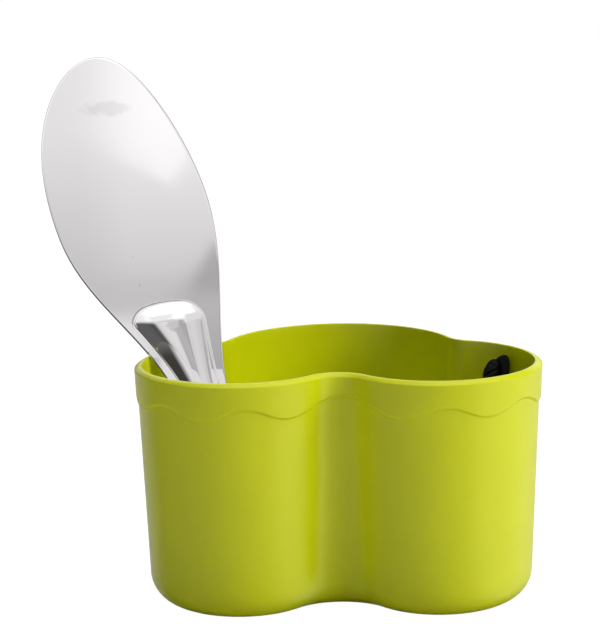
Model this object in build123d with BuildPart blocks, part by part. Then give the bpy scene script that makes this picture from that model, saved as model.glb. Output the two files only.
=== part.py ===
from build123d import *
import os
from math import atan2, cos, degrees, hypot, pi, radians, sin, sqrt, tan

# A three-lobed utensil pot, moulded in one piece, with a stamped steel rice paddle standing in
# its left lobe and a small black spreader in its right lobe.
#
# Millimetres, +Z up. The origin is on the pot's underside, midway between the two front lobes.
# The front of the pot, with the waist between its two equal lobes, faces -Y.

# ---- driving dimensions of the pot ----
pot_height = 107.7
front_lobe_radius = 46.24  # outside of the rim, where the pot is widest
back_lobe_radius = 56.32
front_lobe_spacing = 87.52  # between the axes of the two front lobes
back_lobe_setback = 31.04  # from the line of the front axes to the back axis
front_waist_radius = 12.39  # concave blend between the front lobes
side_waist_radius = 11.66  # concave blends between the front lobes and the back one
draft_angle = 2.26
wall = 2.58
floor_thickness = 3.0
bottom_rounding = 13.65

# ---- rim and its raised band ----
band_proud = 0.87  # how far the band stands out from the wall below it
bevel_width = 1.97
bevel_drop = 1.43
rim_edge_break = 0.35  # the rim's edges are broken by this much
wave_shift = 3.5  # the wave starts this far to the right of the front waist
waist_crest_depth = 9.8  # depths are measured down from the rim
waist_crest_half_span = 28.5
wave_dip_depth = 16.7
wave_crest_depth = 11.7
wave_pitch = 39.8
front_wave_count = 3  # full waves on each front lobe, between the waist crest and the back waves
back_wave_count = 3
points_per_wave = 8

# ---- underside ----
recess_depth = 0.8
standing_web = 4.0  # flat left round each recess, at the outer wall and between the discs

# ---- rice paddle ----
sheet_thickness = 1.2
paddle_length = 251.4
leaf_width = 68.8
leaf_start = 82.5  # distances along the paddle are measured from the end of its handle
leaf_widest = 181.0
tip_offset = 5.3  # the leaf's point stands to the right of its axis
point_bend = 3.5  # power with which the middle line bends out to the point
leaf_sway = 0.9  # the leaf's middle line sways right at its neck and left at its widest
handle_width = 21.0
ridge_height = 3.8
ridge_start = 14.0
ridge_flare_start = 92.0
ridge_handle_width = 10.8
ridge_head_width = 28.6
ridge_head_at = 129.3
ridge_head_offset = 2.0  # the head stands to the left of the paddle's axis
ridge_head_skew = 9.0  # and its left shoulder stands this much further up
ridge_cap = 8.0
ridge_shoulder_rounding = 4.6
ridge_crest_rounding = 2.6
foot_margin = 1.8  # the ridge stands on a low foot, this much wider all round
foot_height = 0.5
ridge_wall_angle = 45.0  # from square to the sheet
lean_left = 20.1  # seen from the front
lean_back = 8.5  # seen from the side
paddle_turn = 5.7  # about its own length, to face right
lean_angle_on_rim = 163.6  # where the leaf's edge meets the left lobe's rim, from +X

# ---- black spreader ----
spreader_length = 102.2
spreader_handle_width = 8.0
spreader_handle_depth = 7.6
spreader_handle_length = 56.0
spreader_cap = 8.0  # length of the handle's rounded end
handle_taper = 5.0
spreader_neck_width = 7.0
spreader_blade_width = 16.0
spreader_blade_thickness = 2.4
spreader_blade_length = 54.0
layer_step = 1.9  # the back half of the handle stands this much higher
layer_shift = 1.9  # and the halves stand this far to either side of the middle
spreader_edge = 1.1
spreader_lean_right = 2.0
spreader_lean_back = 10.5
spreader_turn = -18.0
spreader_angle_on_wall = 39.2  # where the handle's end meets the right lobe's wall, from +X

# ---- clearances ----
rest_gap = 0.3  # between a standing utensil and what it stands on or leans on

UP = Vector(0, 0, 1)
TOWARDS_FRONT = Vector(0, -1, 0)


# ---- the lobed outline ----
# Every outline of the pot is the same six arcs, moved inwards by an inset. Their centres stay.
half_spacing = front_lobe_spacing / 2
front_waist_y = -sqrt((front_lobe_radius + front_waist_radius) ** 2 - half_spacing**2)


def side_waist_centre():
    """The point at the blend's distance from both the right lobe's axis and the back lobe's."""
    to_front = front_lobe_radius + side_waist_radius
    to_back = back_lobe_radius + side_waist_radius
    between = hypot(half_spacing, back_lobe_setback)
    along = (to_front**2 - to_back**2 + between**2) / (2 * between)
    across = sqrt(to_front**2 - along**2)
    step_x = -half_spacing / between
    step_y = back_lobe_setback / between
    return half_spacing + along * step_x + across * step_y, along * step_y - across * step_x


def bearing(from_point, to_point):
    """Angle in degrees of the direction from one point to another."""
    return degrees(atan2(to_point[1] - from_point[1], to_point[0] - from_point[0]))


front_waist = (0, front_waist_y)
right_lobe = (half_spacing, 0)
left_lobe = (-half_spacing, 0)
side_waist = side_waist_centre()
back_lobe = (0, back_lobe_setback)

# Right half of the outline from the front waist to the back: centre, radius at no inset,
# +1 for a convex arc and -1 for a concave one, start angle and sweep.
waist_sweep = bearing(front_waist, right_lobe) - 90
lobe_start = bearing(right_lobe, front_waist)
lobe_sweep = bearing(right_lobe, side_waist) - lobe_start
side_start = bearing(side_waist, right_lobe)
side_sweep = bearing(side_waist, back_lobe) - side_start
back_start = bearing(back_lobe, side_waist)
OUTLINE_ARCS = [
    (front_waist, front_waist_radius, -1, 90, waist_sweep),
    (right_lobe, front_lobe_radius, 1, lobe_start, lobe_sweep),
    (side_waist, side_waist_radius, -1, side_start, side_sweep),
    (back_lobe, back_lobe_radius, 1, back_start, 90 - back_start),
]


def half_outline(inset):
    """Draws the right half of the outline in the current line builder."""
    for centre, radius, convex, start, sweep in OUTLINE_ARCS:
        CenterArc(centre, radius - convex * inset, start, sweep)


def arc_length(arc):
    """Length of one arc of the outline at no inset."""
    return arc[1] * radians(abs(arc[4]))


half_perimeter = sum(arc_length(arc) for arc in OUTLINE_ARCS)


def rim_point(distance, inset, height):
    """Point of the outline at a distance round the rim from the front waist, positive to the right."""
    distance = (distance + half_perimeter) % (2 * half_perimeter) - half_perimeter
    side = -1 if distance < 0 else 1
    left = abs(distance)
    for arc in OUTLINE_ARCS[:-1]:
        if left < arc_length(arc):
            break
        left -= arc_length(arc)
    else:
        arc = OUTLINE_ARCS[-1]
    centre, radius, convex, start, sweep = arc
    angle = radians(start + sweep * left / arc_length(arc))
    reach = radius - convex * inset
    return Vector(side * (centre[0] + reach * cos(angle)), centre[1] + reach * sin(angle), height)


def wave_depth(distance):
    """Depth of the band's lower edge: cosines between crests and dips, symmetric about its start."""
    half = abs((distance - wave_shift + half_perimeter) % (2 * half_perimeter) - half_perimeter)
    front_end = waist_crest_half_span + front_wave_count * wave_pitch
    if half < waist_crest_half_span:
        crest = waist_crest_depth
        phase = 1 + half / waist_crest_half_span
    elif half < front_end:
        crest = wave_crest_depth
        phase = 2 * (half - waist_crest_half_span) / wave_pitch
    else:
        crest = wave_crest_depth
        phase = 2 * back_wave_count * (half - front_end) / (half_perimeter - front_end)
    middle = (wave_dip_depth + crest) / 2
    return middle + (wave_dip_depth - crest) / 2 * cos(pi * phase)


def wave_line(inset):
    """The wavy lower edge of the band, drawn at an inset, as one closed curve."""
    wave_count = 2 * (front_wave_count + back_wave_count) + 1
    count = wave_count * points_per_wave
    points = []
    for i in range(count):
        distance = 2 * half_perimeter * i / count
        points.append(rim_point(distance, inset, pot_height - wave_depth(distance)))
    return Edge.make_spline(points, periodic=True)


# ---- pot body: the raised band is made first, then joined to the tapered wall ----
rim_width = band_proud + wall
band_reach = 2.0  # the cutting surface runs this far past the band on both sides
with BuildPart() as rim_band:
    with BuildSketch(Plane.XY.offset(pot_height)):
        with BuildLine():
            half_outline(0)
            mirror(about=Plane.YZ)
        make_face()
    extrude(amount=-(wave_dip_depth + band_reach), taper=draft_angle)
    below_wave = Face.make_surface_from_curves(
        wave_line(-band_reach), wave_line(rim_width + band_reach)
    )
    extrude(below_wave, amount=pot_height, dir=(0, 0, -1), mode=Mode.SUBTRACT)

with BuildPart() as cavity:
    with BuildSketch(Plane.XY.offset(pot_height)):
        with BuildLine():
            half_outline(rim_width)
            mirror(about=Plane.YZ)
        make_face()
    extrude(amount=-(pot_height - floor_thickness), taper=draft_angle)
    fillet(cavity.faces().sort_by(Axis.Z)[0].edges(), bottom_rounding - wall)

underside_inset = band_proud + pot_height * tan(radians(draft_angle)) + bottom_rounding
front_recess_radius = front_lobe_radius - underside_inset - standing_web
lobe_distance = hypot(half_spacing, back_lobe_setback)
back_recess_radius = min(
    back_lobe_setback - standing_web,
    lobe_distance - front_recess_radius - standing_web,
)
with BuildPart() as pot_body:
    with BuildSketch(Plane.XY.offset(pot_height)):
        with BuildLine():
            half_outline(band_proud)
            mirror(about=Plane.YZ)
        make_face()
    extrude(amount=-pot_height, taper=draft_angle)
    fillet(pot_body.faces().sort_by(Axis.Z)[0].edges(), bottom_rounding)
    add(rim_band.part)

    # a bevel round the outside of the rim leaves a flat land inside it
    rim_top = pot_body.faces().sort_by(Axis.Z)[-1]
    chamfer(rim_top.edges(), bevel_width, bevel_drop, reference=rim_top)
    add(cavity.part, mode=Mode.SUBTRACT)
    chamfer(pot_body.faces().sort_by(Axis.Z)[-1].edges(), rim_edge_break)
    # shallow round recesses in the underside leave a web to stand on
    with BuildSketch(Plane.XY):
        with Locations(left_lobe, right_lobe):
            Circle(front_recess_radius)
        with Locations(back_lobe):
            Circle(back_recess_radius)
    extrude(amount=recess_depth, mode=Mode.SUBTRACT)
pot_body.part.label = "pot_body"


# ---- rice paddle: one stamped sheet, with its handle's end on the pot's floor ----
def utensil_frame(lean_sideways, lean_backwards, turn):
    """Directions of a utensil that leans: along it, out of its front face and to its right."""
    along = Vector(-tan(radians(lean_sideways)), tan(radians(lean_backwards)), 1).normalized()
    level_face = (TOWARDS_FRONT - along * along.dot(TOWARDS_FRONT)).normalized()
    face = level_face.rotate(Axis((0, 0, 0), along), turn)
    return along, face, along.cross(face)


def leaf_half_width(station):
    """Half the paddle's width: handle, cosine flare to the widest place, half ellipse to the point."""
    flare = (leaf_width - handle_width) / 2
    if station <= leaf_start:
        return handle_width / 2
    if station < leaf_widest:
        rise = (station - leaf_start) / (leaf_widest - leaf_start)
        return handle_width / 2 + flare * (1 - cos(pi * rise)) / 2
    towards_tip = min(1, (station - leaf_widest) / (paddle_length - leaf_widest))
    return leaf_width / 2 * sqrt(1 - towards_tip**2)


def leaf_middle(station):
    """Sideways place of the leaf's middle line: three quarters of a sine, then out to the point."""
    rise = (station - leaf_start) / (leaf_widest - leaf_start)
    sway = leaf_sway * sin(3 * pi / 2 * min(1, max(0, rise)))
    towards_tip = max(0, (station - leaf_widest) / (paddle_length - leaf_widest))
    return sway + tip_offset * towards_tip**point_bend


def leaf_edge(side, station):
    """Sideways place of the left (-1) or right (+1) edge of the sheet."""
    return leaf_middle(station) + side * leaf_half_width(station)


paddle_along, paddle_face, paddle_right = utensil_frame(lean_left, lean_back, paddle_turn)

# The end of the handle is a half circle, so its lowest point lies off the paddle's axis, and the
# back of the sheet reaches lower than its front.
end_radius = handle_width / 2
sideways_drop = hypot(paddle_along.Z, paddle_right.Z) - paddle_along.Z
paddle_foot_z = floor_thickness + rest_gap + end_radius * sideways_drop + sheet_thickness * paddle_face.Z

# The left edge leans on the inside of the rim. Its back corner comes nearest to the wall.
towards_rim = Vector(cos(radians(lean_angle_on_rim)), sin(radians(lean_angle_on_rim)), 0)
corner_reach = max(0, -sheet_thickness * paddle_face.dot(towards_rim))
lean_radius = front_lobe_radius - rim_width - rest_gap - corner_reach
lean_point = Vector(-half_spacing, 0, pot_height) + towards_rim * lean_radius
contact_rounds = 12  # the contact moves less than a micrometre after these
lean_station = pot_height
for _ in range(contact_rounds):
    lean_edge = leaf_edge(-1, lean_station)
    lean_station = (pot_height - paddle_foot_z - lean_edge * paddle_right.Z) / paddle_along.Z
paddle_end = lean_point - paddle_right * lean_edge - paddle_along * lean_station
paddle_plane = Plane(paddle_end, x_dir=paddle_right, z_dir=paddle_face)

flare_stations = 7  # on each edge of the leaf, from the handle to the widest place
point_stations = 7  # and from there to the point


def leaf_outline():
    """Both edges of the leaf as one curve from the handle over the point and back."""
    edge_stations = []
    for i in range(flare_stations):
        edge_stations.append(leaf_start + (leaf_widest - leaf_start) * i / flare_stations)
    for i in range(point_stations):
        angle = pi / 2 * i / point_stations
        edge_stations.append(leaf_widest + (paddle_length - leaf_widest) * sin(angle))
    points = [(leaf_edge(-1, station), station) for station in edge_stations]
    points.append((leaf_middle(paddle_length), paddle_length))
    points += [(leaf_edge(1, station), station) for station in reversed(edge_stations)]
    return Spline(points)


def ridge_outline(margin):
    """The pressed ridge: parallel along the handle, flared and rounded at its head."""
    handle_half = ridge_handle_width / 2 + margin
    right_shoulder = (
        ridge_head_width / 2 - ridge_head_offset + margin,
        ridge_head_at - ridge_head_skew / 2,
    )
    left_shoulder = (
        -ridge_head_width / 2 - ridge_head_offset - margin,
        ridge_head_at + ridge_head_skew / 2,
    )
    head_top = (-ridge_head_offset, ridge_head_at + ridge_cap + margin)
    start = ridge_start - margin + handle_half
    right_side = Polyline((handle_half, start), (handle_half, ridge_flare_start), right_shoulder)
    ThreePointArc(right_shoulder, head_top, left_shoulder)
    left_side = Polyline(left_shoulder, (-handle_half, ridge_flare_start), (-handle_half, start))
    ThreePointArc(left_side @ 1, (0, start - handle_half), right_side @ 0)


with BuildPart() as ridge_outside:
    with BuildSketch(paddle_plane) as ridge_foot:
        with BuildLine():
            ridge_outline(0)
        make_face()
        fillet(ridge_foot.vertices().sort_by(Axis.Y)[-2:], ridge_shoulder_rounding)
    extrude(amount=ridge_height, taper=ridge_wall_angle)
    ridge_crest = ridge_outside.faces().sort_by(Axis(paddle_end, paddle_face))[-1]
    fillet(ridge_crest.edges(), ridge_crest_rounding)

# The sheet follows the ridge, so its back is hollow by the same form, one sheet deeper.
ridge_hollow = ridge_outside.part.moved(Location(-paddle_face * sheet_thickness))

with BuildPart() as rice_paddle:
    # the flat sheet, cut to its outline
    with BuildSketch(paddle_plane):
        with BuildLine():
            leaf = leaf_outline()
            left_side = Line(leaf @ 1, (end_radius, end_radius))
            handle_end = ThreePointArc(left_side @ 1, (0, 0), (-end_radius, end_radius))
            Line(handle_end @ 1, leaf @ 0)
        make_face()
    extrude(amount=-sheet_thickness)
    # the low foot that runs round the ridge, and the ridge on it
    with BuildSketch(paddle_plane):
        with BuildLine():
            ridge_outline(foot_margin)
        make_face()
    extrude(amount=foot_height)
    add(ridge_outside.part)
    add(ridge_hollow, mode=Mode.SUBTRACT)
rice_paddle.part.label = "rice_paddle"

# ---- black spreader: one moulding, its blade on the pot's floor and its handle's end on the wall ----
spreader_along, spreader_face, spreader_right = utensil_frame(
    -spreader_lean_right, spreader_lean_back, spreader_turn
)
blade_half = spreader_blade_width / 2
blade_drop = hypot(spreader_along.Z, spreader_right.Z) - spreader_along.Z
spreader_foot_z = (
    floor_thickness
    + rest_gap
    + blade_half * blade_drop
    + spreader_blade_thickness / 2 * spreader_face.Z
)

# The rounded end of the handle's back face meets the right lobe's wall where their normals agree.
wall_angle = radians(spreader_angle_on_wall)
draft = radians(draft_angle)
towards_wall = Vector(cos(wall_angle), sin(wall_angle), 0)
wall_normal = towards_wall * cos(draft) - UP * sin(draft)
end_inset = spreader_edge + spreader_handle_depth / 2 * tan(radians(handle_taper))
end_half = spreader_handle_width / 2 - end_inset
end_cap = spreader_cap - end_inset
meeting_angle = atan2(
    end_cap * spreader_along.dot(wall_normal), end_half * spreader_right.dot(wall_normal)
)
to_contact = (
    spreader_right * (layer_shift + end_half * cos(meeting_angle))
    + spreader_along * (spreader_length - spreader_cap + end_cap * sin(meeting_angle))
    - spreader_face * spreader_handle_depth / 2
)
contact_z = spreader_foot_z + to_contact.Z
wall_radius = front_lobe_radius - rim_width - (pot_height - contact_z) * tan(draft)
contact_point = Vector(half_spacing, 0, contact_z) + towards_wall * (wall_radius - rest_gap)
spreader_plane = Plane(contact_point - to_contact, x_dir=spreader_right, z_dir=spreader_face)
handle_start = spreader_length - spreader_handle_length


def handle_outline(end, sideways):
    """Outline of one half of the handle: a narrow neck, swelling sides and a rounded end."""
    half = spreader_handle_width / 2
    neck = spreader_neck_width / 2
    shoulder = end - spreader_cap
    right_side = Spline(
        (neck, handle_start), (sideways + half, shoulder), tangents=[(0, 1), (0, 1)]
    )
    EllipticalCenterArc((sideways, shoulder), half, spreader_cap, start_angle=0, arc_size=180)
    left_side = Spline(
        (sideways - half, shoulder), (-neck, handle_start), tangents=[(0, -1), (0, -1)]
    )
    Line(left_side @ 1, right_side @ 0)


with BuildPart() as black_spreader:
    # the front half of the handle ends lower than the back half
    with BuildSketch(spreader_plane):
        with BuildLine():
            handle_outline(spreader_length - layer_step, -layer_shift)
        make_face()
    extrude(amount=spreader_handle_depth / 2, taper=handle_taper)
    with BuildSketch(spreader_plane):
        with BuildLine():
            handle_outline(spreader_length, layer_shift)
        make_face()
    extrude(amount=-spreader_handle_depth / 2, taper=handle_taper)
    handle_faces = black_spreader.faces().sort_by(Axis(contact_point, spreader_face))
    chamfer(handle_faces[-1].edges() + handle_faces[0].edges(), spreader_edge)
    # the blade: a flat tongue with a round end, running up into the neck
    with BuildSketch(spreader_plane):
        with BuildLine():
            blade_end = ThreePointArc((-blade_half, blade_half), (0, 0), (blade_half, blade_half))
            right_edge = Spline(
                blade_end @ 1,
                (blade_half, spreader_blade_length / 2),
                (spreader_neck_width / 2, handle_start + spreader_edge),
                tangents=[(0, 1), (0, 1)],
            )
            top_edge = Line(right_edge @ 1, (-spreader_neck_width / 2, handle_start + spreader_edge))
            Spline(
                top_edge @ 1,
                (-blade_half, spreader_blade_length / 2),
                blade_end @ 0,
                tangents=[(0, -1), (0, -1)],
            )
        make_face()
    extrude(amount=spreader_blade_thickness / 2, both=True)
black_spreader.part.label = "black_spreader"

os.makedirs("parts", exist_ok=True)
export_step(pot_body.part, "parts/pot_body.step")
export_step(rice_paddle.part, "parts/rice_paddle.step")
export_step(black_spreader.part, "parts/black_spreader.step")
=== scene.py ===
import math

import bmesh
import bpy
import numpy as np
from mathutils import Matrix


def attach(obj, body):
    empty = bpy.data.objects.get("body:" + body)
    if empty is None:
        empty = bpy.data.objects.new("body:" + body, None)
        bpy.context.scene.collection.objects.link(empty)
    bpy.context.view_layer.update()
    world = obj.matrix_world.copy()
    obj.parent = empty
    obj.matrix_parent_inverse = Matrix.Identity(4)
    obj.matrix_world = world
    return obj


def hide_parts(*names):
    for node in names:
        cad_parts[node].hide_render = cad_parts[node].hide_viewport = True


# A three-lobed utensil pot with a wavy raised band round its rim. A polished steel rice paddle
# leans in its left lobe and a small black spreader stands in its right one. The pieces' sizes are
# in millimetres, and their meshes, like the frame, in metres with +Z up.
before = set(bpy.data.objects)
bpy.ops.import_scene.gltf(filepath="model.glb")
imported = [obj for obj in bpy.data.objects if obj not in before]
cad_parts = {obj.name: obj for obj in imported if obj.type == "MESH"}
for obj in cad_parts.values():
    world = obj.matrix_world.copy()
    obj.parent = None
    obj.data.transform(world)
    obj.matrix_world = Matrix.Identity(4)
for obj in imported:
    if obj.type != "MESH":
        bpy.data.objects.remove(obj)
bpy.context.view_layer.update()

# ---- Pot body ----
# One injection moulding in lime green plastic, three round lobes joined by concave waists. The
# wall tapers down to a well rounded bottom, and its raised band ends below in a soft wavy step.
MM = 0.001
pot_height = 107.7
front_lobe_radius = 46.24
back_lobe_radius = 56.32
half_spacing = 43.76
back_lobe_setback = 31.04
front_waist_radius = 12.39
side_waist_radius = 11.66
pot_wall = 2.58
floor_thickness = 3.0
bottom_rounding = 13.65
draft = math.radians(2.26)
band_proud = 0.87
rim_width = band_proud + pot_wall
bevel_width = 1.97
bevel_drop = 1.43
rim_fall = 0.15
waist_crest_depth = 9.8
wave_crest_depth = 11.7
wave_dip_depth = 16.7
waist_crest_half_span = 28.5
wave_pitch = 39.8
wave_shift = 3.5
front_waves = 3
back_waves = 3
step_height = 1.5
recess_depth = 0.8
back_recess_radius = 26.0
standing_web = 4.0
recess_blend = 0.5
underside_middle_y = 5.0
fan_lead = 5
floor_middle_y = 12.0


def outline_arcs():
    """The right half of the outline as rows of centre x, centre y, radius, convexity, start and
    sweep: front waist, right lobe, side waist and back lobe, each tangent to the next."""
    waist_y = -math.sqrt((front_lobe_radius + front_waist_radius) ** 2 - half_spacing**2)
    to_front = front_lobe_radius + side_waist_radius
    to_back = back_lobe_radius + side_waist_radius
    between = math.hypot(half_spacing, back_lobe_setback)
    along = (to_front**2 - to_back**2 + between**2) / (2 * between)
    across = math.sqrt(to_front**2 - along**2)
    unit = np.array([-half_spacing, back_lobe_setback]) / between
    side = np.array([half_spacing, 0]) + along * unit + across * np.array([unit[1], -unit[0]])
    lobe_start = math.atan2(waist_y, -half_spacing)
    lobe_end = math.atan2(side[1], side[0] - half_spacing)
    side_start = lobe_end - math.pi
    back_start = math.atan2(side[1] - back_lobe_setback, side[0])
    side_end = back_start - math.pi
    waist_sweep = lobe_start + math.pi / 2
    return np.array([
        [0, waist_y, front_waist_radius, -1, math.pi / 2, waist_sweep],
        [half_spacing, 0, front_lobe_radius, 1, lobe_start, lobe_end - lobe_start],
        [side[0], side[1], side_waist_radius, -1, side_start, side_end - side_start],
        [0, back_lobe_setback, back_lobe_radius, 1, back_start, math.pi / 2 - back_start],
    ])


ARCS = outline_arcs()
ARC_ENDS = np.cumsum(ARCS[:, 2] * np.abs(ARCS[:, 5]))
half_round = ARC_ENDS[-1]


def round_outline(distance, inset):
    """Points of the outline at a distance round from the front waist, moved in by an inset.
    The arcs keep their centres, and a point left of the middle mirrors one on the right."""
    distance = (distance + half_round) % (2 * half_round) - half_round
    side = np.where(distance < 0, -1.0, 1.0)
    gone = np.abs(distance)
    which = np.minimum(np.searchsorted(ARC_ENDS, gone, side="right"), len(ARCS) - 1)
    x, y, radius, convex, start, sweep = (ARCS[which, k] for k in range(6))
    length = radius * np.abs(sweep)
    angle = start + sweep * (gone - (ARC_ENDS[which] - length)) / length
    reach = radius - convex * inset
    return side * (x + reach * np.cos(angle)), y + reach * np.sin(angle)


def wave_depth(distance):
    """Depth of the band's lower edge below the rim: cosines between crests and dips, one wide
    crest at the front waist, then the front waves on each lobe and the back waves behind them."""
    half = np.abs((distance - wave_shift + half_round) % (2 * half_round) - half_round)
    front_end = waist_crest_half_span + front_waves * wave_pitch
    phase = np.where(
        half < waist_crest_half_span,
        1 + half / waist_crest_half_span,
        np.where(
            half < front_end,
            2 * (half - waist_crest_half_span) / wave_pitch,
            2 * back_waves * (half - front_end) / (half_round - front_end),
        ),
    )
    crest = np.where(half < waist_crest_half_span, waist_crest_depth, wave_crest_depth)
    return (wave_dip_depth + crest) / 2 + (wave_dip_depth - crest) / 2 * np.cos(np.pi * phase)


def rounded_corners(corners, radii, steps=5):
    """A line through the corners with each inner one replaced by a quadratic curve that starts
    and ends a radius away from it."""
    corners = np.array(corners, float)
    parts = [corners[:1]]
    t = np.linspace(0, 1, steps)[:, None]
    for before, corner, after, radius in zip(corners, corners[1:], corners[2:], radii):
        start = corner + (before - corner) / np.linalg.norm(before - corner) * radius
        end = corner + (after - corner) / np.linalg.norm(after - corner) * radius
        parts.append((1 - t) ** 2 * start + 2 * t * (1 - t) * corner + t**2 * end)
    return np.vstack(parts + [corners[-1:]])


def bottom_curve(wall_inset, foot_height, radius, steps):
    """Inset and height of the arc that rounds a tapered wall into a flat floor, from the floor."""
    centre_height = foot_height + radius
    centre = wall_inset + (pot_height - centre_height) * math.tan(draft) + radius / math.cos(draft)
    turn = np.linspace(0, math.pi / 2 - draft, steps)
    return np.stack([centre - radius * np.sin(turn), centre_height - radius * np.cos(turn)], axis=1)


def closed_mesh(name, blocks):
    """One object from grids of points: each block is rows by columns by 3, in millimetres, and
    says whether its columns close. Points that meet are merged and the faces turned outwards."""
    points, faces, base = [], [], 0
    for grid, closes in blocks:
        rows, columns = grid.shape[:2]
        index = base + np.arange(rows * columns).reshape(rows, columns)
        nearer = index if closes else index[:, :-1]
        further = np.roll(index, -1, axis=1) if closes else index[:, 1:]
        faces.append(
            np.stack([nearer[:-1], further[:-1], further[1:], nearer[1:]], axis=-1).reshape(-1, 4)
        )
        points.append(grid.reshape(-1, 3) * MM)
        base += rows * columns
    mesh = bpy.data.meshes.new(name)
    mesh.from_pydata(np.vstack(points), [], np.vstack(faces).tolist())
    work = bmesh.new()
    work.from_mesh(mesh)
    bmesh.ops.remove_doubles(work, verts=work.verts, dist=2e-6)
    bmesh.ops.recalc_face_normals(work, faces=work.faces)
    work.to_mesh(mesh)
    work.free()
    mesh.shade_smooth()
    piece = bpy.data.objects.new(name, mesh)
    bpy.context.collection.objects.link(piece)
    return piece


def pot_shell():
    """The wall as one profile carried round the outline: up the outside over the wavy step and the
    band, over the bevelled rim and down the inside. Flat grids close the floor and the underside."""
    columns = 720
    distance = 2 * half_round * np.arange(columns) / columns
    edge = wave_depth(distance)
    tilt = math.tan(draft)

    outside = bottom_curve(band_proud, 0, bottom_rounding, 14)
    wall_top_height = pot_height - edge - step_height / 2
    up = np.linspace(0, 1, 22)[1:-1, None]
    wall_height = outside[-1, 1] + up * (wall_top_height - outside[-1, 1])
    wall_inset = band_proud + (pot_height - wall_height) * tilt
    across_step = np.linspace(0, 1, 13)[:, None]
    step_z = wall_top_height + across_step * step_height
    soft = across_step**2 * (3 - 2 * across_step)
    step_inset = band_proud * (1 - soft) + (pot_height - step_z) * tilt
    rim_foot = bevel_drop + 1.0
    band_low = wall_top_height + step_height
    up_band = np.linspace(0, 1, 9)[1:-1, None]
    band_z = band_low + up_band * (pot_height - rim_foot - band_low)
    band_inset = (pot_height - band_z) * tilt
    rim_end = 4.0
    rim = rounded_corners(
        [
            (rim_foot * tilt, pot_height - rim_foot),
            (bevel_drop * tilt, pot_height - bevel_drop),
            (bevel_width, pot_height - rim_fall),
            (rim_width, pot_height),
            (rim_width + rim_end * tilt, pot_height - rim_end),
        ],
        (0.45, 0.55, 0.55),
    )
    inside = bottom_curve(rim_width, floor_thickness, bottom_rounding - pot_wall, 12)[::-1]
    down = np.linspace(0, 1, 20)[1:-1]
    inner = rim[-1] + down[:, None] * (inside[0] - rim[-1])

    def all_round(profile):
        return np.repeat(profile[:, 0:1], columns, 1), np.repeat(profile[:, 1:2], columns, 1)

    insets, heights = zip(
        all_round(outside),
        (wall_inset, wall_height),
        (step_inset, step_z),
        (band_inset, band_z),
        all_round(rim),
        all_round(inner),
        all_round(inside),
    )
    inset, height = np.vstack(insets), np.vstack(heights)
    x, y = round_outline(distance[None, :], inset)
    shell = np.stack([x, y, height], axis=-1)

    middle = np.array([0, floor_middle_y, floor_thickness])
    ring = np.linspace(0, 1, 16)[:, None, None]
    pot_floor = shell[-1][None] * (1 - ring) + middle * ring
    return [(shell, True), (pot_floor, True)] + underside(shell[0])


def underside(foot):
    """The flat web that the pot stands on, in three fans about the lobes' axes. Each fan's rings run
    from the middle of a shallow round recess, down its rounded step, and out to the web's edge. The
    fans meet a few columns before the ends of the side waists."""
    columns = len(foot)
    right_side = round(columns * ARC_ENDS[2] / (2 * half_round)) - fan_lead
    left_side = columns - right_side
    middle = np.array([0, underside_middle_y, 0])
    border = np.linspace(0, 1, 24)[1:, None]
    inset = bottom_curve(band_proud, 0, bottom_rounding, 2)[0, 0]
    front_recess = front_lobe_radius - inset - standing_web - recess_blend
    fans = []
    for lobe_x, lobe_y, first, last, recess in (
        (half_spacing, 0, 0, right_side, front_recess),
        (0, back_lobe_setback, right_side, left_side, back_recess_radius),
        (-half_spacing, 0, left_side, columns, front_recess),
    ):
        arc = foot[np.arange(first, last + 1) % columns]
        inwards = arc[-1] + border * (middle - arc[-1])
        outwards = middle + border[:-1] * (arc[0] - middle)
        edge = np.vstack([arc, inwards, outwards])
        centre = np.array([lobe_x, lobe_y, 0])
        reach = np.linalg.norm(edge - centre, axis=1)[:, None]
        direction = (edge - centre) / reach
        steps = [(recess * share, recess_depth) for share in (0, 0.3, 0.6, 0.9, 0.985)]
        steps += [
            (recess + out, recess_depth * share)
            for out, share in ((-0.15, 0.96), (0, 0.8), (0.05, 0.2), (0.2, 0.04), (recess_blend, 0))
        ]
        rings = [centre + direction * radius + [0, 0, height] for radius, height in steps]
        rings += [rings[-1] * (1 - share) + edge * share for share in (0.5, 1.0)]
        fans.append((np.stack(rings), True))
    return fans


def new_material(name):
    """A node material by that name, with its node tree and its shader."""
    material = bpy.data.materials.new(name)
    material.use_nodes = True
    tree = material.node_tree
    return material, tree, tree.nodes["Principled BSDF"]


def add_noise(tree, scale, detail=2.0, roughness=0.5, stretch=None):
    """A noise texture on object coordinates, turned and stretched first if a rotation and a scale
    are given."""
    place = tree.nodes.new("ShaderNodeTexCoord")
    noise = tree.nodes.new("ShaderNodeTexNoise")
    noise.inputs["Scale"].default_value = scale
    noise.inputs["Detail"].default_value = detail
    noise.inputs["Roughness"].default_value = roughness
    if stretch is None:
        tree.links.new(place.outputs["Object"], noise.inputs["Vector"])
    else:
        mapping = tree.nodes.new("ShaderNodeMapping")
        mapping.inputs["Rotation"].default_value = stretch[0]
        mapping.inputs["Scale"].default_value = stretch[1]
        tree.links.new(place.outputs["Object"], mapping.inputs["Vector"])
        tree.links.new(mapping.outputs["Vector"], noise.inputs["Vector"])
    return noise


def spread(tree, source, low, high, from_low=0.3, from_high=0.7):
    """A value carried in proportion from one range to another, and held at both ends."""
    node = tree.nodes.new("ShaderNodeMapRange")
    node.inputs["From Min"].default_value = from_low
    node.inputs["From Max"].default_value = from_high
    node.inputs["To Min"].default_value = low
    node.inputs["To Max"].default_value = high
    tree.links.new(source, node.inputs["Value"])
    return node.outputs["Result"]


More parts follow.
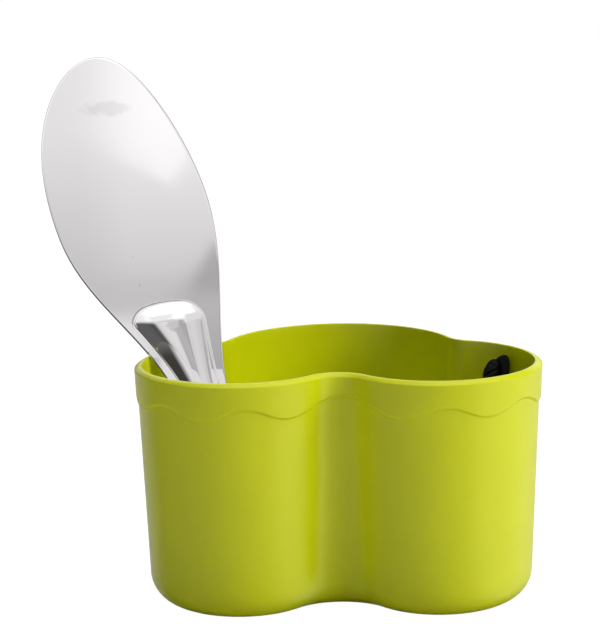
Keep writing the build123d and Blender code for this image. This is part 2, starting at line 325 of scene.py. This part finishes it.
def add_bump(tree, source, distance, strength, after=None):
    """A bump node fed by a height, on top of an earlier bump if one is given."""
    bump = tree.nodes.new("ShaderNodeBump")
    bump.inputs["Strength"].default_value = strength
    bump.inputs["Distance"].default_value = distance
    tree.links.new(source, bump.inputs["Height"])
    if after is not None:
        tree.links.new(after, bump.inputs["Normal"])
    return bump.outputs["Normal"]


def lime_plastic():
    """Opaque lime green moulding: a faint cloudiness in the colour, a satin gloss that varies a
    little, and the very fine orange peel that a polished mould leaves."""
    material, tree, shader = new_material("lime_plastic")
    cloud = add_noise(tree, 45.0, 2.0)
    tint = tree.nodes.new("ShaderNodeMix")
    tint.data_type = "RGBA"
    tint.inputs["A"].default_value = (0.585, 0.622, 0.002, 1)
    tint.inputs["B"].default_value = (0.600, 0.638, 0.003, 1)
    tree.links.new(spread(tree, cloud.outputs["Fac"], 0, 1), tint.inputs["Factor"])
    tree.links.new(tint.outputs["Result"], shader.inputs["Base Color"])
    gloss = add_noise(tree, 180.0, 2.0)
    tree.links.new(spread(tree, gloss.outputs["Fac"], 0.28, 0.31), shader.inputs["Roughness"])
    peel = add_noise(tree, 900.0, 2.0)
    grain = add_noise(tree, 4200.0, 1.0)
    first = add_bump(tree, peel.outputs["Fac"], 0.000006, 0.25)
    tree.links.new(
        add_bump(tree, grain.outputs["Fac"], 0.000002, 0.2, first), shader.inputs["Normal"]
    )
    shader.inputs["IOR"].default_value = 1.49
    return material


pot = closed_mesh("pot_body_shell", pot_shell())
pot.data.materials.append(lime_plastic())
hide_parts("pot_body")
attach(pot, "pot")

# ---- Rice paddle ----
# Stamped from one sheet of stainless steel and polished. A hollow ridge pressed up along the
# handle flares into a broad rounded head on the leaf. The leaf's edge leans on the rim.
paddle_end = np.array([-29.08718, -2.80109, 4.08984])
paddle_along = np.array([-0.3403242, 0.1389864, 0.9299797])
paddle_face = np.array([0.0457428, -0.9853978, 0.1640082])
paddle_right = np.array([0.9391949, 0.0983558, 0.3289971])
sheet_thickness = 1.2
paddle_length = 251.4
leaf_width = 68.8
leaf_start = 82.5
leaf_widest = 181.0
tip_offset = 5.3
leaf_sway = 0.9
handle_width = 21.0
edge_radius = 0.85
ridge_height = 3.0
ridge_start = 14.0
ridge_left_half = 5.9
ridge_right_half = 5.4
ridge_flare_start = 92.0
left_flare_length = 42.0
right_flare_length = 34.0
left_flare_reach = 11.7
right_flare_reach = 6.1
left_flank = 5.6
right_flank = 5.2
left_flank_flare = 3.6
right_flank_flare = 2.2
ridge_end = 5.0
ridge_cap = 7.4
ridge_cap_at = 137.7
cap_crest_x = -10.0
cap_bend = 0.0125
ridge_dome = 0.2
steep_share = 0.75
steep_power = 2.6
corner_power = 2.3
foot_margin_left = 0.7
foot_margin_head = 1.2
foot_margin_handle = 2.6
foot_height = 0.16
foot_ramp = 0.05
crease_depth = 0.12
crease_down = 1.03
ridge_crease_width = 0.035
foot_crease_width = 0.03
foot_crease_share = 0.6


def leaf_sides(station):
    """Middle line and half width of the sheet: round handle end, parallel handle, cosine flare to
    the widest place, half ellipse to the point, with the middle swaying and bending to the right."""
    end = handle_width / 2
    rise = np.clip((station - leaf_start) / (leaf_widest - leaf_start), 0, 1)
    to_tip = np.clip((station - leaf_widest) / (paddle_length - leaf_widest), 0, 1)
    half = end + (leaf_width - handle_width) / 2 * (1 - np.cos(np.pi * rise)) / 2
    half = half * np.sqrt(1 - to_tip**2)
    half = np.where(station < end, np.sqrt(np.maximum(0, end**2 - (end - station) ** 2)), half)
    return leaf_sway * np.sin(1.5 * np.pi * rise) + tip_offset * to_tip**3.5, half


def ridge_feet(station, left_margin=0.0, right_margin=0.0):
    """Left and right foot of the ridge, and how far each has flared, from 0 to 1. A foot moves out
    by its reach times a power of its flare, and a margin widens it further."""
    flare = np.clip(station - ridge_flare_start, 0, None)
    left_flare = np.minimum(flare / left_flare_length, 1)
    right_flare = np.minimum(flare / right_flare_length, 1)
    left_foot = -ridge_left_half - left_flare_reach * left_flare**1.5 - left_margin
    right_foot = ridge_right_half + right_flare_reach * right_flare**1.15 + right_margin
    return left_foot, right_foot, left_flare, right_flare


def ridge_down(x, station, left_margin=0.0, right_margin=0.0):
    """How far a point lies down from the ridge's crest, 1 at its foot. The shares for the two
    flanks, the cap and the handle end are joined with rounded corners: their powers are added and
    the root is taken. The cap's foot is a parabola that is highest over the crest's x."""
    left_foot, right_foot, left_flare, right_flare = ridge_feet(station, left_margin, right_margin)
    cap_foot = ridge_cap_at - cap_bend * (x - cap_crest_x) ** 2 + left_margin
    inside = (
        (x - left_foot) / (left_flank + left_flank_flare * left_flare),
        (right_foot - x) / (right_flank + right_flank_flare * right_flare),
        (cap_foot - station) / ridge_cap,
        (station - ridge_start + left_margin) / ridge_end,
    )
    return sum(np.clip(1 - share, 0, 3) ** corner_power for share in inside) ** (1 / corner_power)


def ridge_rise(x, station):
    """Share of the ridge's height at a point: most falls by a power of the way down and the rest
    as a cosine, so the flank steepens towards its foot, and the crest is crowned by a parabola
    from foot to foot."""
    down = np.clip(ridge_down(x, station), 0, 1)
    left_foot, right_foot = ridge_feet(station)[:2]
    crown = np.clip((2 * x - left_foot - right_foot) / (right_foot - left_foot), -1, 1)
    soft = (1 - np.cos(np.pi * down)) / 2
    flank = 1 - steep_share * down**steep_power - (1 - steep_share) * soft
    return flank * (1 - ridge_dome * crown**2)


def paddle_height(x, station):
    """Height of the front face over the sheet's plane: the ridge, plus the low foot that runs round
    it, less two fine bell-shaped creases just outside the ridge and its foot."""
    right_flare = ridge_feet(station)[3]
    right_margin = foot_margin_handle + (foot_margin_head - foot_margin_handle) * right_flare
    margin = ridge_down(x, station, foot_margin_left, right_margin)
    foot = np.clip((1 - margin) / foot_ramp, 0, 1)
    foot = foot**2 * (3 - 2 * foot)
    crease = np.exp(-(((ridge_down(x, station) - crease_down) / ridge_crease_width) ** 2))
    foot_crease = np.exp(-(((margin - crease_down) / foot_crease_width) ** 2))
    crease = crease + foot_crease_share * foot_crease
    return ridge_height * ridge_rise(x, station) + foot_height * foot - crease_depth * crease


def paddle_stations():
    """Rows from the handle's end to the leaf's point, close together over the ridge's head and
    towards both ends."""
    end = handle_width / 2
    head_from = ridge_flare_start - 4
    head_to = 146
    return np.concatenate([
        end * (1 - np.cos(np.linspace(0, np.pi / 2, 12)))[:-1],
        np.linspace(end, head_from, 36)[:-1],
        np.linspace(head_from, head_to, 150)[:-1],
        np.linspace(head_to, leaf_widest, 26)[:-1],
        leaf_widest + (paddle_length - leaf_widest) * np.sin(np.linspace(0, np.pi / 2, 42)),
    ])


def paddle_shell():
    """Closed sections across the sheet: the front face from edge to edge, round the right edge,
    back along the rear face, which follows the ridge from below, and round the left edge. Columns
    crowd towards both edges by a sine."""
    station = paddle_stations()
    middle, half = leaf_sides(station)
    outward = []
    for side in (-1, 1):
        dx, dy = np.gradient(middle + side * half), np.gradient(station)
        dx[0], dy[0], dx[-1], dy[-1] = side, 0, -side, 0
        size = np.hypot(dx, dy)
        outward.append(np.stack([side * dy / size, -side * dx / size], axis=1))
    left = np.stack([middle - half, station], axis=1) - outward[0] * edge_radius
    right = np.stack([middle + half, station], axis=1) - outward[1] * edge_radius
    even = np.linspace(-1, 1, 141)
    crowding = 0.12
    across = ((even + crowding * np.sin(np.pi * even)) + 1) / 2
    flat = left[:, None] * (1 - across[None, :, None]) + right[:, None] * across[None, :, None]
    front = np.dstack([flat, paddle_height(flat[..., 0], flat[..., 1])])
    ridge_below = ridge_height * ridge_rise(flat[..., 0], flat[..., 1])
    rear = np.dstack([flat, ridge_below - sheet_thickness])[:, ::-1]
    turn = np.linspace(0, np.pi, 9)[1:-1]
    reach = edge_radius * np.sin(turn) ** 0.6
    level = -sheet_thickness / 2 * (1 - np.cos(turn))

    def edge(place, direction, reach, level):
        spots = place[:, None] + direction[:, None] * reach[None, :, None]
        return np.dstack([spots, np.broadcast_to(level, spots.shape[:2])])

    right_edge = edge(right, outward[1], reach, level)
    left_edge = edge(left, outward[0], reach[::-1], level[::-1])
    local = np.concatenate([front, right_edge, rear, left_edge], axis=1)
    shell = paddle_end + local @ np.stack([paddle_right, paddle_along, paddle_face])
    return [(shell, True)]


def worn_spot(tree, across, along, half_across, half_along, grain, turn=0.0):
    """A ragged oval on the sheet, 1 inside and 0 outside, at a place across and along the paddle:
    the distances from it, turned by an angle, over the half sizes, squared, added, and disturbed by
    noise of a grain."""
    raggedness = 2.6
    edge_starts, edge_ends = 1.6, 2.6
    place = tree.nodes.new("ShaderNodeTexCoord")
    squares = []
    cos, sin = math.cos(turn), math.sin(turn)
    wide = (paddle_right * cos - paddle_along * sin, across * cos - along * sin, half_across)
    high = (paddle_right * sin + paddle_along * cos, across * sin + along * cos, half_along)
    for axis, middle, half in (wide, high):
        reach = tree.nodes.new("ShaderNodeVectorMath")
        reach.operation = "DOT_PRODUCT"
        reach.inputs[1].default_value = tuple(axis / (half * MM))
        tree.links.new(place.outputs["Object"], reach.inputs[0])
        away = tree.nodes.new("ShaderNodeMath")
        away.operation = "SUBTRACT"
        away.inputs[1].default_value = (middle + axis @ paddle_end) / half
        tree.links.new(reach.outputs["Value"], away.inputs[0])
        square = tree.nodes.new("ShaderNodeMath")
        square.operation = "MULTIPLY"
        tree.links.new(away.outputs["Value"], square.inputs[0])
        tree.links.new(away.outputs["Value"], square.inputs[1])
        squares.append(square.outputs["Value"])
    distance = tree.nodes.new("ShaderNodeMath")
    distance.operation = "ADD"
    tree.links.new(squares[0], distance.inputs[0])
    tree.links.new(squares[1], distance.inputs[1])
    ragged = tree.nodes.new("ShaderNodeMath")
    ragged.operation = "MULTIPLY_ADD"
    ragged.inputs[1].default_value = raggedness
    noise = add_noise(tree, grain, 3.0)
    tree.links.new(noise.outputs["Fac"], ragged.inputs[0])
    tree.links.new(distance.outputs["Value"], ragged.inputs[2])
    return spread(tree, ragged.outputs["Value"], 1.0, 0.0, edge_starts, edge_ends)


def polished_steel():
    """Mirror-polished stainless steel: light brushing along the paddle that only the gloss shows,
    soft clouded patches where it has been wiped, a dull smear on the leaf, a scuff on the ridge's
    head and a few pin-prick pits."""
    material, tree, shader = new_material("polished_steel")
    shader.inputs["Metallic"].default_value = 1.0
    smear = worn_spot(
        tree, across=4.5, along=228.0, half_across=11.5, half_along=3.4, grain=260.0, turn=0.33
    )
    scuff = worn_spot(
        tree, across=-1.2, along=127.5, half_across=2.6, half_along=3.0, grain=900.0
    )
    pits = tree.nodes.new("ShaderNodeTexVoronoi")
    pits.inputs["Scale"].default_value = 75.0
    place = tree.nodes.new("ShaderNodeTexCoord")
    tree.links.new(place.outputs["Object"], pits.inputs["Vector"])
    pit = spread(tree, pits.outputs["Distance"], 1.0, 0.0, 0.020, 0.030)
    worn = tree.nodes.new("ShaderNodeMath")
    worn.operation = "MAXIMUM"
    tree.links.new(spread(tree, smear, 0, 0.35, 0, 1), worn.inputs[0])
    tree.links.new(pit, worn.inputs[1])
    tint = tree.nodes.new("ShaderNodeMix")
    tint.data_type = "RGBA"
    tint.inputs["A"].default_value = (0.80, 0.775, 0.79, 1)
    tint.inputs["B"].default_value = (0.52, 0.50, 0.50, 1)
    tree.links.new(worn.outputs["Value"], tint.inputs["Factor"])
    tree.links.new(tint.outputs["Result"], shader.inputs["Base Color"])
    wiped = add_noise(tree, 35.0, 3.0)
    gloss = tree.nodes.new("ShaderNodeMath")
    gloss.operation = "MULTIPLY_ADD"
    gloss.inputs[1].default_value = 0.22
    tree.links.new(scuff, gloss.inputs[0])
    tree.links.new(spread(tree, wiped.outputs["Fac"], 0.025, 0.055), gloss.inputs[2])
    tree.links.new(gloss.outputs["Value"], shader.inputs["Roughness"])
    along_sheet = ((0, math.radians(20.1), 0), (1.0, 1.0, 0.02))
    brushed = add_noise(tree, 5000.0, 2.0, 0.6, along_sheet)
    first = add_bump(tree, brushed.outputs["Fac"], 0.000004, 0.08)
    tree.links.new(add_bump(tree, scuff, 0.00003, 0.5, first), shader.inputs["Normal"])
    return material


paddle = closed_mesh("rice_paddle_sheet", paddle_shell())
paddle.data.materials.append(polished_steel())
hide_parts("rice_paddle")
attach(paddle, "paddle")

# ---- Black spreader ----
# One black moulding with a dull gloss. Its handle has a front and a back layer, the back one a
# little higher and to the right, and its flat blade stands on the floor of the pot.
spreader_origin = np.array([67.90692, 6.66996, 3.52284])
spreader_along = np.array([0.0343158, 0.1821282, 0.9826758])
spreader_face = np.array([-0.3027837, -0.9351499, 0.1838932])
spreader_right = np.array([0.9524413, -0.3038486, 0.0230550])
spreader_length = 102.2
handle_half_width = 4.0
handle_half_depth = 3.8
handle_start = 46.2
neck_half_width = 3.5
layer_step = 1.9
front_layer = {"shift": 1.9, "extra_width": 0.0, "lean": 1.3, "roundness": 2.2}
back_layer = {"shift": -0.95, "extra_width": 0.7, "lean": 2.6, "roundness": 1.9}
handle_cap = 8.0
crease_share = 0.10
crease_above_shoulder = 2.6
blade_half_width = 8.0
blade_thickness = 2.4
blade_narrows_at = 27.0
blade_narrowed_at = 47.3
blade_overlap = 2.0
blade_foot_taper = 0.8
shank_share = 0.45


def handle_half(side, end, layer):
    """One layer of the handle as round sections about its own middle line, on the front side, 1, or
    the back one, -1: the width swells from the neck and closes at its end by a power curve that
    leans to the right, and the outer face is a flattened dome with two creases pressed across. A
    share of the sections goes to the shank and the rest, by a sine, to the rounded end."""
    roundness = layer["roundness"]
    shoulder = end - handle_cap
    share = np.linspace(0, 1, 70)
    station = np.where(
        share < shank_share,
        handle_start + (shoulder - handle_start) * share / shank_share,
        shoulder + handle_cap * np.sin(np.pi / 2 * (share - shank_share) / (1 - shank_share)),
    )
    swell = np.clip((station - handle_start) / (shoulder - handle_start), 0, 1)
    swell = swell**2 * (3 - 2 * swell)
    over = np.clip((station - shoulder) / handle_cap, 0, 1)
    closing = (1 - over**roundness) ** (1 / roundness)
    widest = handle_half_width + layer["extra_width"]
    half = (neck_half_width + (widest - neck_half_width) * swell) * closing
    depth = handle_half_depth * (0.35 + 0.65 * closing) * (closing > 0)
    middle = layer["lean"] * over**1.5 - layer["shift"] * swell
    turn = np.linspace(0, 2 * np.pi, 49)[:-1]
    wide = np.sign(np.cos(turn)) * np.abs(np.cos(turn)) ** 0.7
    deep = np.where(np.sin(turn) > 0, np.abs(np.sin(turn)) ** 0.55, -0.02)
    x = middle[:, None] + half[:, None] * wide
    high = (station - shoulder)[:, None] - crease_above_shoulder
    creases = np.exp(-(((high - 0.55 * x) / 0.5) ** 2))
    creases = creases + 0.8 * np.exp(-(((high - 2.2 + 0.45 * x) / 0.4) ** 2))
    pressed = 1 - crease_share * creases * (deep > 0)
    outwards = side * depth[:, None] * deep * pressed
    local = np.dstack([x, np.broadcast_to(station[:, None], x.shape), outwards])
    start = np.broadcast_to(local[:1].mean(axis=1, keepdims=True), local[:1].shape)
    return np.concatenate([start, local])


def spreader_blade():
    """The blade as flat sections with rounded edges: a half circle at its foot, parallel sides,
    and a smooth run into the neck."""
    foot = blade_half_width * (1 - np.cos(np.linspace(0, np.pi / 2, 14)))
    top = handle_start + blade_overlap
    station = np.concatenate([foot[:-1], np.linspace(blade_half_width, top, 30)])
    half = np.where(
        station < blade_half_width,
        np.sqrt(np.clip(blade_half_width**2 - (blade_half_width - station) ** 2, 0, None)),
        blade_half_width,
    )
    narrowing = (station - blade_narrows_at) / (blade_narrowed_at - blade_narrows_at)
    narrowing = np.clip(narrowing, 0, 1)
    narrowing = narrowing**2 * (3 - 2 * narrowing)
    half = half + (neck_half_width - blade_half_width) * narrowing
    turn = np.linspace(0, 2 * np.pi, 33)[:-1]
    wide = np.sign(np.cos(turn)) * np.abs(np.cos(turn)) ** 0.35
    deep = blade_thickness / 2 * np.sign(np.sin(turn)) * np.abs(np.sin(turn)) ** 0.7
    x = half[:, None] * wide
    outwards = np.broadcast_to(deep, x.shape) * np.clip(half / blade_foot_taper, 0, 1)[:, None]
    local = np.dstack([x, np.broadcast_to(station[:, None], x.shape), outwards])
    close = np.broadcast_to(local[-1:].mean(axis=1, keepdims=True), local[-1:].shape)
    return np.concatenate([local, close])


def placed_spreader(local):
    """Sections of the spreader carried from its own plane to where it leans."""
    return spreader_origin + local @ np.stack([spreader_right, spreader_along, spreader_face])


def black_plastic():
    """Black plastic with faint smears in its dull gloss and a fine moulded grain."""
    material, tree, shader = new_material("black_plastic")
    shader.inputs["Base Color"].default_value = (0.002, 0.002, 0.003, 1)
    shader.inputs["Specular IOR Level"].default_value = 0.08
    smear = add_noise(tree, 220.0, 3.0)
    tree.links.new(spread(tree, smear.outputs["Fac"], 0.22, 0.36), shader.inputs["Roughness"])
    grain = add_noise(tree, 2500.0, 2.0)
    tree.links.new(add_bump(tree, grain.outputs["Fac"], 0.00001, 0.3), shader.inputs["Normal"])
    return material


spreader = closed_mesh(
    "black_spreader_moulding",
    [
        (placed_spreader(handle_half(1, spreader_length - layer_step, front_layer)), True),
        (placed_spreader(handle_half(-1, spreader_length, back_layer)), True),
        (placed_spreader(spreader_blade()), True),
    ],
)
spreader.data.materials.append(black_plastic())
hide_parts("black_spreader")
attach(spreader, "spreader")

# ---- Floor, light and camera ----
# The pot stands on a white floor with a painted glow in a pale studio. A large softbox on the right
# is the main light, one hangs above and behind the pot, and a weak one hangs above its front.


def white_floor():
    """White floor: matt, with a painted glow that is nil at the pot's foot and grows away from it,
    so that the pot keeps its shadow, and nearly white to the camera."""
    material, tree, shader = new_material("white_floor")
    shader.inputs["Base Color"].default_value = (0.78, 0.78, 0.78, 1)
    shader.inputs["Roughness"].default_value = 0.9
    shader.inputs["Specular IOR Level"].default_value = 0.1
    shader.inputs["Emission Color"].default_value = (1, 1, 1, 1)
    place = tree.nodes.new("ShaderNodeTexCoord")
    reach = tree.nodes.new("ShaderNodeVectorMath")
    reach.operation = "LENGTH"
    tree.links.new(place.outputs["Object"], reach.inputs[0])
    # Painted light: the floor glows, not at all at the pot's foot and more and more away from it.
    painted_floor_glow = spread(tree, reach.outputs["Value"], 0.0, 0.20, 0.065, 0.14)
    tree.links.new(painted_floor_glow, shader.inputs["Emission Strength"])
    white = tree.nodes.new("ShaderNodeEmission")
    white.inputs["Strength"].default_value = 1.12
    path = tree.nodes.new("ShaderNodeLightPath")
    share = spread(tree, path.outputs["Is Camera Ray"], 0.0, 0.88, 0.0, 1.0)
    mixed = tree.nodes.new("ShaderNodeMixShader")
    tree.links.new(share, mixed.inputs["Fac"])
    tree.links.new(shader.outputs["BSDF"], mixed.inputs[1])
    tree.links.new(white.outputs["Emission"], mixed.inputs[2])
    tree.links.new(mixed.outputs["Shader"], tree.nodes["Material Output"].inputs["Surface"])
    return material


floor_half = 8
floor_corners = np.array([(-1, -1, 0), (1, -1, 0), (1, 1, 0), (-1, 1, 0)]) * floor_half
floor_mesh = bpy.data.meshes.new("studio_floor")
floor_mesh.from_pydata(floor_corners, [], [(0, 1, 2, 3)])
studio_floor = bpy.data.objects.new("studio_floor", floor_mesh)
bpy.context.collection.objects.link(studio_floor)
studio_floor.data.materials.append(white_floor())
studio_floor.visible_glossy = False


def softbox(name, place, aim, width, height, power):
    """A rectangular lamp at a place, turned to face a point, that no glossy surface mirrors."""
    lamp = bpy.data.lights.new(name, "AREA")
    lamp.shape = "RECTANGLE"
    lamp.size, lamp.size_y = width, height
    lamp.energy = power
    stand = bpy.data.objects.new(name, lamp)
    bpy.context.collection.objects.link(stand)
    stand.location = place
    towards = np.array(aim) - np.array(place)
    flat = math.hypot(towards[0], towards[1])
    stand.rotation_euler = (math.atan2(flat, -towards[2]), 0, math.atan2(-towards[0], towards[1]))
    stand.visible_glossy = False


softbox("right_softbox", (1.40, -0.58, 0.86), (0, 0, 0.08), 0.9, 0.9, 21.2)
softbox("overhead_softbox", (0.20, 0.45, 1.40), (0, 0, 0.10), 1.1, 0.8, 14.0)
softbox("front_softbox", (-0.10, -0.62, 1.30), (0, 0, 0.10), 1.1, 0.8, 3.5)


def painted_reflection_card():
    """A strip on the stage, just inside the left lobe's wall, that is seen only in the paddle's
    mirror.
    It is a painted reflection: it glows pale in front and shades to near black on the left as
    painted shade. It is higher and deeper beside the paddle than in front of it, and its top slopes
    down at its far end."""
    card_start, slope_start, card_end = 12.0, -131.0, -135.0
    wall_gap = 1.2
    front_bottom, beside_bottom = 98.0, 58.0
    front_top, rise_beside, end_drop = pot_height + 0.2, 3.0, 3.4
    distance = np.linspace(card_start, card_end, 74)
    x, y = round_outline(distance, rim_width + wall_gap)
    beside = np.clip((y + 30) / 6, 0, 1) * (x < -60)
    far_end = np.clip((slope_start - distance) / (slope_start - card_end), 0, 1)
    low = np.stack([x, y, front_bottom + (beside_bottom - front_bottom) * beside], axis=1)
    high = np.stack([x, y, front_top + rise_beside * beside - end_drop * far_end], axis=1)
    card = closed_mesh("painted_reflection_card", [(np.stack([low, high]), False)])
    material, tree, shader = new_material("painted_reflection_card")
    place = tree.nodes.new("ShaderNodeTexCoord")
    parts = tree.nodes.new("ShaderNodeSeparateXYZ")
    tree.links.new(place.outputs["Object"], parts.inputs["Vector"])
    # Painted reflection: the strip's glow is pale in front, shades to near black on the left as
    # painted shade, and is brighter along its top edge.
    left_side = spread(tree, parts.outputs["Y"], 0.88, 0.04, -0.024, -0.006)
    front_side = spread(tree, parts.outputs["X"], 0.88, 0.66, -0.036, -0.022)
    top_edge = spread(tree, parts.outputs["Z"], 0.0, 0.14, 0.100, 0.110)
    sides = tree.nodes.new("ShaderNodeMix")
    sides.data_type = "FLOAT"
    tree.links.new(
        spread(tree, parts.outputs["X"], 0.0, 1.0, -0.060, -0.050), sides.inputs["Factor"]
    )
    tree.links.new(left_side, sides.inputs["A"])
    tree.links.new(front_side, sides.inputs["B"])
    painted_reflection_glow = tree.nodes.new("ShaderNodeMath")
    painted_reflection_glow.operation = "MAXIMUM"
    tree.links.new(sides.outputs["Result"], painted_reflection_glow.inputs[0])
    tree.links.new(top_edge, painted_reflection_glow.inputs[1])
    # Black strip whose emission is the painted reflection and painted shade seen in the steel.
    shader.inputs["Base Color"].default_value = (0, 0, 0, 1)
    shader.inputs["Emission Color"].default_value = (1, 1, 1, 1)
    tree.links.new(painted_reflection_glow.outputs["Value"], shader.inputs["Emission Strength"])
    card.data.materials.append(material)
    card.visible_camera = False
    card.visible_diffuse = False
    card.visible_shadow = False


painted_reflection_card()


def studio_walls():
    """The studio round the pot, as world light by direction. Mirrored surfaces see all of it; the
    camera sees white, and matt surfaces get a little even light. Each part is a product of smooth
    ramps over a direction's across, deep and up."""
    world = bpy.data.worlds.new("studio_walls")
    bpy.context.scene.world = world
    world.use_nodes = True
    tree = world.node_tree
    background = tree.nodes["Background"]
    place = tree.nodes.new("ShaderNodeTexCoord")
    parts = tree.nodes.new("ShaderNodeSeparateXYZ")
    tree.links.new(place.outputs["Generated"], parts.inputs["Vector"])
    across, deep, up = parts.outputs["X"], parts.outputs["Y"], parts.outputs["Z"]

    def ramp(socket, low, high, bottom, top):
        """A smooth step from the bottom value to the top one, level outside low and high."""
        node = tree.nodes.new("ShaderNodeMapRange")
        node.interpolation_type = "SMOOTHSTEP"
        node.inputs["From Min"].default_value = low
        node.inputs["From Max"].default_value = high
        node.inputs["To Min"].default_value = bottom
        node.inputs["To Max"].default_value = top
        tree.links.new(socket, node.inputs["Value"])
        return node.outputs["Result"]

    def slanted(tilt, low, high, bottom, top):
        """The same over a slanted line: across times the tilt, plus up."""
        node = tree.nodes.new("ShaderNodeMath")
        node.operation = "MULTIPLY_ADD"
        node.inputs[1].default_value = tilt
        tree.links.new(across, node.inputs[0])
        tree.links.new(up, node.inputs[2])
        return ramp(node.outputs["Value"], low, high, bottom, top)

    def join(operation, *sockets):
        """All the values added, multiplied or reduced to the highest one."""
        joined = sockets[0]
        for socket in sockets[1:]:
            node = tree.nodes.new("ShaderNodeMath")
            node.operation = operation
            tree.links.new(joined, node.inputs[0])
            tree.links.new(socket, node.inputs[1])
            joined = node.outputs["Value"]
        return joined

    # The wall behind the camera: dim at table height and brighter to the left there, and brighter
    # above, but less so far to the left.
    low_wall = join(
        "MULTIPLY", ramp(up, -0.18, 0.10, 0.06, 0.42), ramp(across, -0.62, -0.20, 2.2, 1.0)
    )
    high_wall = join(
        "MULTIPLY",
        ramp(up, 0.05, 0.32, 0.0, 0.80),
        ramp(up, 0.21, 0.26, 1.0, 0.80),
        ramp(across, -0.90, -0.15, 0.15, 1.0),
    )
    # On it a pale panel with two slanted edges, a faint haze beside it, a glow low down, and the
    # dark band of the camera's stand.
    panel = join(
        "MULTIPLY",
        slanted(0.49, 0.1960, 0.2010, 0.0, 1.0),
        ramp(across, -0.040, 0.010, 0.0, 0.22),
        slanted(-1.59, 0.1750, 0.1790, 0.0, 1.0),
    )
    haze = join(
        "MULTIPLY", ramp(across, -0.032, -0.006, 0.0, 0.09), ramp(up, 0.148, 0.160, 0.0, 1.0)
    )
    glow = join(
        "MULTIPLY",
        ramp(up, 0.142, 0.132, 0.0, 0.38),
        ramp(across, 0.009, 0.018, 1.0, 0.0),
        ramp(up, -0.09, 0.02, 0.0, 1.0),
        ramp(across, -0.45, -0.10, 0.0, 1.0),
    )
    stand = join(
        "MULTIPLY",
        slanted(-1.6, 0.1290, 0.1190, 0.0, 1.0),
        ramp(up, 0.174, 0.166, 0.0, 1.0),
        ramp(up, 0.140, 0.160, -0.04, -0.30),
    )
    front = join(
        "MULTIPLY",
        join("ADD", low_wall, high_wall, panel, haze, glow, stand),
        ramp(across, 0.10, 0.45, 1.0, 0.80),
        ramp(deep, -0.25, 0.30, 1.0, 0.08),
    )
    # Low on the right a window, behind the pot the light table and a white backdrop, and overhead a
    # bright ceiling that is dim behind the pot.
    window = join("MULTIPLY", ramp(across, 0.42, 0.82, 0.0, 0.90), ramp(up, 0.0, 0.20, 1.0, 0.0))
    table = join(
        "MULTIPLY",
        ramp(deep, 0.20, 0.75, 0.0, 0.60),
        ramp(up, -0.06, 0.10, 1.0, 0.0),
        ramp(up, -0.70, -0.30, 0.0, 1.0),
    )
    backdrop = join(
        "MULTIPLY",
        ramp(deep, 0.70, 0.90, 0.0, 1.2),
        ramp(up, 0.10, 0.17, 0.0, 1.0),
        ramp(up, 0.40, 0.55, 1.0, 0.0),
    )
    ceiling = join("MULTIPLY", ramp(up, 0.48, 0.85, 0.0, 2.0), ramp(deep, -0.20, 0.06, 1.0, 0.15))
    studio = join(
        "MAXIMUM", join("ADD", front, window), join("ADD", table, backdrop), ceiling
    )
    path = tree.nodes.new("ShaderNodeLightPath")

    def switch(ray, otherwise, shown):
        """One value for rays of a kind and another one for all others."""
        node = tree.nodes.new("ShaderNodeMix")
        node.data_type = "FLOAT"
        tree.links.new(path.outputs[ray], node.inputs["Factor"])
        for name, value in (("A", otherwise), ("B", shown)):
            if isinstance(value, float):
                node.inputs[name].default_value = value
            else:
                tree.links.new(value, node.inputs[name])
        return node.outputs["Result"]

    strength = switch("Is Camera Ray", switch("Is Glossy Ray", 0.02, studio), 1.0)
    tree.links.new(strength, background.inputs["Strength"])
    background.inputs["Color"].default_value = (1, 1, 1, 1)


studio_walls()


def product_camera():
    """A long lens from nearly straight ahead, a little above and rolled a little, at a place that
    is turned by an azimuth about the pot's own axis."""
    azimuth, pitch, yaw, roll = -0.0105, 0.1912, -0.0165, -0.0189
    place = np.array([-0.005, -988.9, 321.2]) * MM
    focal_pixels, picture_height, sensor = 2292.2, 624, 36
    turn = np.array([
        [math.cos(azimuth), math.sin(azimuth), 0],
        [-math.sin(azimuth), math.cos(azimuth), 0],
        [0, 0, 1],
    ])
    level = np.array([math.sin(yaw), math.cos(yaw), 0]) * math.cos(pitch)
    forward = level - np.array([0, 0, math.sin(pitch)])
    flat_right = np.array([math.cos(yaw), -math.sin(yaw), 0])
    flat_up = np.cross(flat_right, forward)
    right = math.cos(roll) * flat_right + math.sin(roll) * flat_up
    up = math.cos(roll) * flat_up - math.sin(roll) * flat_right
    lens = bpy.data.cameras.new("product_camera")
    lens.sensor_width = sensor
    lens.lens = focal_pixels / picture_height * sensor
    lens.clip_start, lens.clip_end = 0.01, 50
    camera = bpy.data.objects.new("product_camera", lens)
    bpy.context.collection.objects.link(camera)
    matrix = np.eye(4)
    matrix[:3, :3] = turn @ np.stack([right, up, -forward], axis=1)
    matrix[:3, 3] = turn @ place
    camera.matrix_world = Matrix(matrix.tolist())
    bpy.context.scene.camera = camera


product_camera()
bpy.context.scene.view_settings.view_transform = "Standard"
